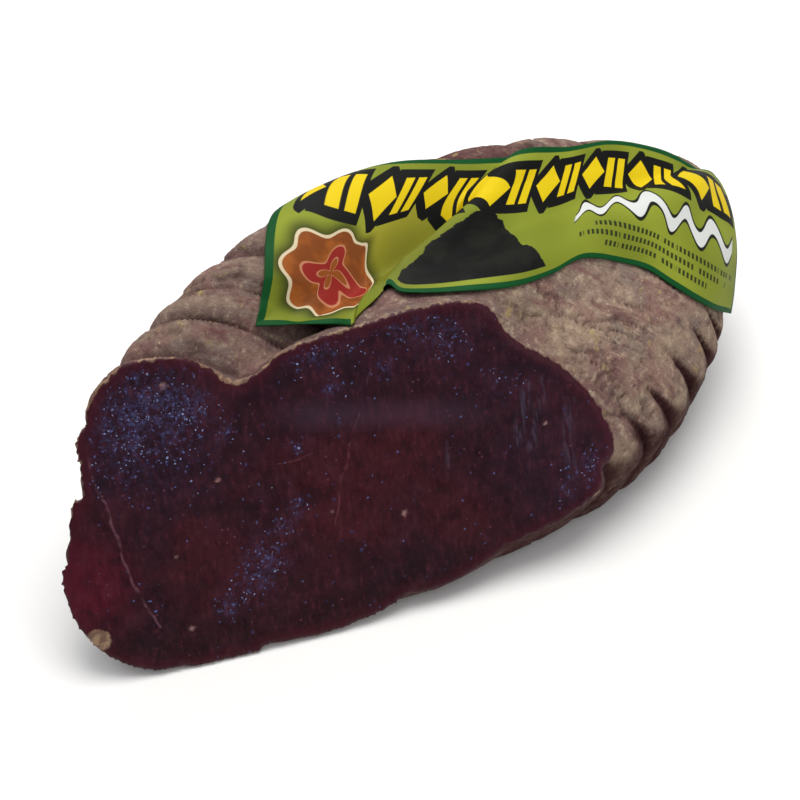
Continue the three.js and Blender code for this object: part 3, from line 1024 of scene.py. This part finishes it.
# what is printed, in millimetres along the label's lower edge and up it
printed = {
    "soft": 0.12,  # half the width of an edge between two inks
    "border": 1.9,
    "glows": (
        ((34, 28, 0), 22, 4, 0.7, (160, 150, 44)),
        ((42, 14, 0), 24, 5, 0.5, (80, 82, 22)),
    ),
    "hills": ((59, 17, 32), (71, 10, 14)),  # middle, half width, height
    "hillFoot": 3.8,
    "rosetteAt": (15.8, 16.8, 0),
    "rosette": (12, 11.2),  # out to the cream outline and to the brown
    # the flower's edges and tones, from the outside in
    "flower": ((6.6, (184, 122, 88)), (6.1, (140, 38, 32)), (3, (184, 122, 88)), (2.5, (138, 74, 28))),
    "bandAt": (75, 39.8),
    "bandHalf": (70.5, 10.2),
    "bandCorner": 3,
    "bandStep": 18,  # from one diamond to the next
    "diamondAt": 5,  # along each step
    "barsAt": (11.4, 15.4),
    "barHalf": (1.35, 5.9),
    "waveFrom": 89,
    "waveTo": 143,
    "waveAt": 22.6,
    "waveHeight": 3.4,
    "strokeRows": ((96, 144), (91, 140), (99, 134)),
    "firstRow": 12.6,
    "rowStep": 3.4,
    "strokeStep": 1.3,
}


# 1 inside a printed outline and 0 outside it
def inside(distance):
    return fade(distance, printed["soft"], -printed["soft"])


# 1 between two places along the print, with soft ends
def between(x, start, end, soft):
    return times(fade(x, start, start + soft), fade(x, end, end - soft))


# distance outside a rounded rectangle on the print, in millimetres
def rounded(place, middle, half, corner):
    beyond = vec("SUBTRACT", vec("ABSOLUTE", vec("SUBTRACT", place, (*middle, 0))),
                 (half[0] - corner, half[1] - corner, 1))
    return minus(measure("LENGTH", vec("MAXIMUM", beyond, (0, 0, 0))), corner)


# from yellow green to olive, with a dark hill and a lower one beside it above a strip of the field
def fieldColour(place, inMetres, x, y):
    colour = patches(cloud(inMetres, 34, 1), 0.35, 0.65, (112, 122, 32), (134, 144, 44))
    colour = glowing(colour, place, printed["glows"])
    rough = times(cloud(inMetres, 5, 4, 0.6), 5.0)
    skyline = None
    for middle, half, height in printed["hills"]:
        across = calc("DIVIDE", minus(x, middle), half)
        hill = times(minus(1.0, times(across, across)), height)
        skyline = hill if skyline is None else calc("MAXIMUM", skyline, hill)
    hills = minus(y, plus(skyline, minus(rough, 2.5)))
    hills = calc("MAXIMUM", hills, minus(printed["hillFoot"], y))
    dark = patches(cloud(inMetres, 7, 4), 0.4, 0.65, (3, 4, 2), (18, 18, 12))
    return blend(inside(hills), colour, dark)


# an orange-brown rosette with a cream outline and a red flower
def addRosette(colour, place, inMetres):
    reach = vec("SUBTRACT", place, printed["rosetteAt"])
    split = node(treeOf(place), "ShaderNodeSeparateXYZ", {0: reach})
    angle = calc("ARCTAN2", split.outputs[1], split.outputs[0])
    away = measure("LENGTH", reach)

    def lobed(lobes, depth):
        return minus(away, times(calc("COSINE", times(angle, lobes)), depth))

    ring, flower = lobed(8.0, 0.9), lobed(4.0, 1.9)
    cream, brown = (inside(minus(ring, edge)) for edge in printed["rosette"])
    colour = tinted(colour, (fade(ring, 16, 11, 0, 0.9), (26, 30, 10)), (cream, (206, 190, 156)))
    ink = patches(cloud(inMetres, 6, 2), 0.4, 0.6, (150, 82, 30), (122, 64, 24))
    petals = [(inside(minus(flower, edge)), tone) for edge, tone in printed["flower"]]
    return tinted(blend(brown, colour, ink), *petals)


# yellow diamonds and bars on black, along the top
def addBand(colour, place, x, y):
    step = calc("FLOORED_MODULO", x, printed["bandStep"])
    high = apart(y, printed["bandAt"][1])
    diamond = plus(times(apart(step, printed["diamondAt"]), 1.5), high)
    diamond = calc("DIVIDE", minus(diamond, 6.6), 1.6)
    bars = calc("MINIMUM", *(apart(step, at) for at in printed["barsAt"]))
    barHalf, barReach = printed["barHalf"]
    bars = calc("MAXIMUM", minus(bars, barHalf), minus(high, barReach))
    shapes = calc("MINIMUM", diamond, bars)
    ends = rounded(place, printed["bandAt"], printed["bandHalf"], printed["bandCorner"])
    black = calc("MAXIMUM", minus(shapes, 3.0), ends)
    yellow = calc("MAXIMUM", shapes, plus(ends, 1.2))
    return tinted(colour, (inside(black), (9, 10, 7)), (inside(yellow), (214, 186, 12)))


# a white wave with a dark edge, and rows of fine strokes below it
def addWave(colour, x, y):
    wave = times(calc("SINE", times(x, 0.62)), printed["waveHeight"])
    off = apart(minus(y, printed["waveAt"]), wave)
    within = between(x, printed["waveFrom"], printed["waveTo"], 1)
    colour = tinted(
        colour,
        (times(fade(off, 3.9, 3.5), within), (20, 24, 12)),
        (times(fade(off, 2.6, 2.3), within), (206, 208, 204)),
    )
    for row, (start, end) in enumerate(printed["strokeRows"]):
        level = apart(y, printed["firstRow"] - printed["rowStep"] * row)
        stroke = apart(calc("FRACT", calc("DIVIDE", x, printed["strokeStep"])), 0.5)
        lane = node(treeOf(x), "ShaderNodeCombineXYZ", {0: times(x, mm), 1: row * 0.2}).outputs[0]
        word = fade(cloud(lane, 5, 1), 0.38, 0.40)
        mark = times(fade(level, 1.0, 0.8), fade(stroke, 0.34, 0.24), word, between(x, start, end, 0.3), 0.92)
        colour = tinted(colour, (mark, (30, 36, 18)))
    return colour


# a green border, but none where the front lobe hides it
def addBorder(colour, x, y):
    fromEnd = calc("MINIMUM", x, minus(label["length"], x))
    hidden = times(between(x, label["hiddenFrom"] - 0.3, label["hiddenTo"] + 0.3, 0.6), 9.0)
    fromSide = calc("MINIMUM", plus(y, hidden), minus(label["width"], y))
    border = minus(calc("MINIMUM", fromEnd, fromSide), printed["border"])
    return tinted(colour, (inside(border), (3, 70, 28)))


def labelMaterial():
    material, tree, shader = newMaterial("printedPaper")
    uv = node(tree, "ShaderNodeUVMap", uv_map="print").outputs[0]
    place = vec("MULTIPLY", uv, (label["length"], label["width"], 0))
    split = node(tree, "ShaderNodeSeparateXYZ", {0: place})
    x, y = split.outputs[0], split.outputs[1]
    inMetres = scaleBy(place, mm)
    colour = fieldColour(place, inMetres, x, y)
    colour = addRosette(colour, place, inMetres)
    colour = addBand(colour, place, x, y)
    colour = addWave(colour, x, y)
    setInputs(shader, {
        "Base Color": addBorder(colour, x, y),
        "Roughness": fade(cloud(inMetres, 18, 3), 0.4, 0.6, 0.54, 0.66),
        "Normal": bump(0.12, 0.0001, cloud(inMetres, 0.6, 2)),
        "Specular IOR Level": 0.14,
    })
    return material


def makeLabel(underneath):
    inner, normals, u, v = labelPoints()
    columns, rows = label["columns"], label["rows"]
    count = len(inner)
    # the paper stays clear of the meat
    reach = 8 * mm
    surface = BVHTree.FromObject(underneath, bpy.context.evaluated_depsgraph_get())
    for k in range(count):
        up = Vector(normals[k])
        hit = surface.ray_cast(Vector(inner[k]) + up * reach, -up, 1.5 * reach)
        if hit[0] is not None:
            inner[k] += normals[k] * max(label["clearance"] * mm + reach - hit[3], 0)
    grid = inner.reshape(columns + 1, rows + 1, 3)
    facing = np.cross(np.gradient(grid, axis=0), np.gradient(grid, axis=1)).reshape(-1, 3)
    facing /= np.linalg.norm(facing, axis=1)[:, None]
    points = np.vstack([inner + facing * label["thickness"] * mm, inner])
    faces = []

    def at(side, i, j):
        return side * count + i * (rows + 1) + j

    for i in range(columns):
        for j in range(rows):
            faces.append((at(0, i, j), at(0, i + 1, j), at(0, i + 1, j + 1), at(0, i, j + 1)))
            faces.append((at(1, i, j), at(1, i, j + 1), at(1, i + 1, j + 1), at(1, i + 1, j)))
    for i in range(columns):
        faces.append((at(0, i, 0), at(1, i, 0), at(1, i + 1, 0), at(0, i + 1, 0)))
        faces.append((at(0, i + 1, rows), at(1, i + 1, rows), at(1, i, rows), at(0, i, rows)))
    for j in range(rows):
        faces.append((at(0, 0, j + 1), at(1, 0, j + 1), at(1, 0, j), at(0, 0, j)))
        faces.append((at(0, columns, j), at(1, columns, j), at(1, columns, j + 1), at(0, columns, j + 1)))
    mesh = bpy.data.meshes.new("paperLabel")
    mesh.from_pydata(points.tolist(), [], faces)
    uvs = mesh.uv_layers.new(name="print")
    corner = np.empty(len(mesh.loops), dtype=int)
    mesh.loops.foreach_get("vertex_index", corner)
    corner %= count
    uvs.data.foreach_set("uv", np.stack([u[corner], v[corner]], axis=1).astype(np.float32).ravel())
    mesh.materials.append(labelMaterial())
    mesh.shade_smooth()
    piece = newPiece("paperLabel", mesh)
    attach(piece, "root")
    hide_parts("label")
    return piece


labelObject = makeLabel(muscleObject)
print("label ready:", len(labelObject.data.polygons), "faces")
